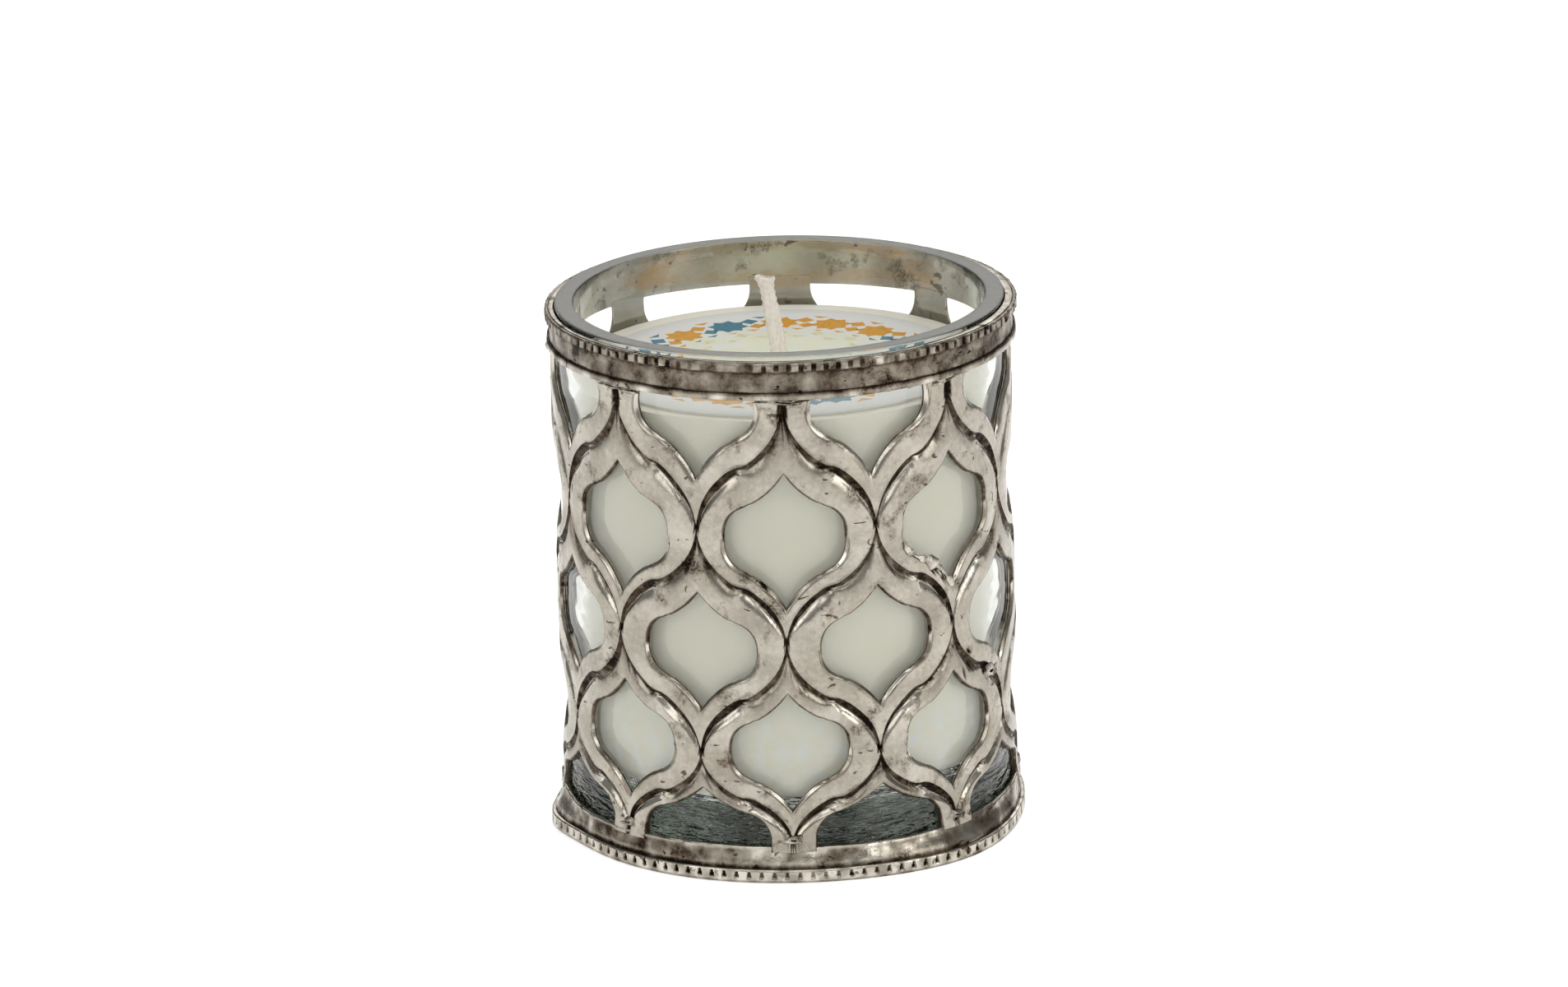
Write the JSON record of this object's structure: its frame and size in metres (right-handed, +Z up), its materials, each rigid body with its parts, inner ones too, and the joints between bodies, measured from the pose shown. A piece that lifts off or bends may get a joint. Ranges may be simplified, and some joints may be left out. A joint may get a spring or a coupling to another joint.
{
  "type": "sanctuary lamp",
  "caption": "Sanctuary lamp: a wick candle poured in a thick glass tumbler that stands in a round pierced metal sleeve with milled bands; a printed card disc covers the wax.",
  "frame": {"origin": "centre of the foot, on the surface that the lamp stands on", "axes": "+Z up along the lamp's axis, -Y towards the front, where one column of openings faces"},
  "size_m": [0.0868, 0.0848, 0.0999],
  "materials": {
    "old_silver": "hand-worked white metal, satin with dark patina in the grooves",
    "bright_solder": "bright melted solder",
    "clear_glass": "clear pressed glass with a ground rim and a slight green tint",
    "ivory_wax": "ivory poured wax, waxy and slightly translucent",
    "waxed_cotton": "flat braided cotton stiffened with wax",
    "tinned_steel": "plain tinned sheet",
    "pad_foam": "white adhesive foam",
    "printed_card": "matt card printed with ochre and blue tile stars"
  },
  "bodies": {
    "sleeve": {"openwork_sheet": "old_silver", "rim_band": "old_silver", "rim_milled_wire": "old_silver", "rim_plain_wire": "old_silver", "foot_band": "old_silver", "foot_milled_flange": "old_silver", "rim_solder_1": "bright_solder", "rim_solder_2": "bright_solder", "rim_solder_3": "bright_solder", "rim_solder_4": "bright_solder", "rim_solder_5": "bright_solder", "rim_solder_6": "bright_solder", "rim_solder_7": "bright_solder", "rim_solder_8": "bright_solder", "foot_solder_1": "bright_solder", "foot_solder_2": "bright_solder", "foot_solder_3": "bright_solder", "foot_solder_4": "bright_solder", "foot_solder_5": "bright_solder", "foot_solder_6": "bright_solder", "foot_solder_7": "bright_solder", "foot_solder_8": "bright_solder", "seam_solder_upper": "bright_solder", "seam_solder_lower": "bright_solder"},
    "glass": {"glass_tumbler": "clear_glass", "wax_fill": "ivory_wax", "wick": "waxed_cotton", "wick_sustainer": "tinned_steel", "sustainer_pad": "pad_foam"},
    "disc": {"dust_disc": "printed_card"}
  },
  "joints": [
    {"name": "glass_lift", "type": "slide", "parent": "sleeve", "child": "glass", "axis": [0, 0, 1], "range_m": [0, 0.11]},
    {"name": "disc_lift", "type": "slide", "parent": "glass", "child": "disc", "axis": [0, 0, 1], "range_m": [0, 0.035]}
  ]
}
